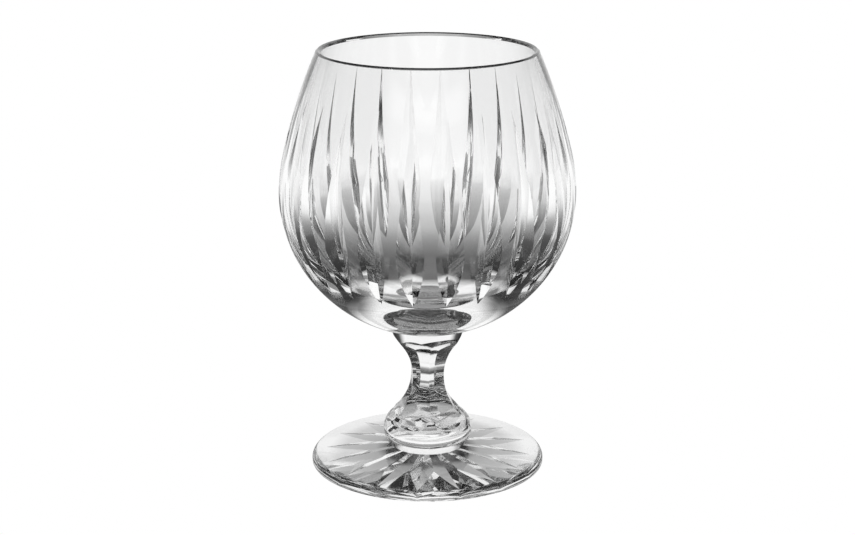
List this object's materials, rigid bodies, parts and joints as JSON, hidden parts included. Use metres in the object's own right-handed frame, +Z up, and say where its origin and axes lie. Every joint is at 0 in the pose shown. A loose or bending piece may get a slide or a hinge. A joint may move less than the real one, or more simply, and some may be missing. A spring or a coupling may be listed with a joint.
{
  "type": "brandy snifter",
  "caption": "Clear cut-glass brandy snifter: a round bowl that narrows to the rim, with upright mitre cuts, a short faceted stem, a rounded collar and a star-cut foot.",
  "frame": {"origin": "middle of the foot's underside, on the surface that the glass stands on", "axes": "+Z up along the glass's axis, from the foot to the rim; -Y is the side towards the viewer"},
  "size_m": [0.0902, 0.0902, 0.13],
  "materials": {
    "crystal_bowl": "clear lead-type crystal, fire-polished outside the polished mitre cuts",
    "crystal_stem": "clear lead-type crystal, ground and polished facets",
    "crystal_collar": "clear lead-type crystal, fire-polished",
    "crystal_foot": "clear lead-type crystal, polished top, star cut below"
  },
  "bodies": {
    "root": {"foot": "crystal_foot", "collar": "crystal_collar", "stem": "crystal_stem", "bowl": "crystal_bowl"}
  },
  "joints": []
}
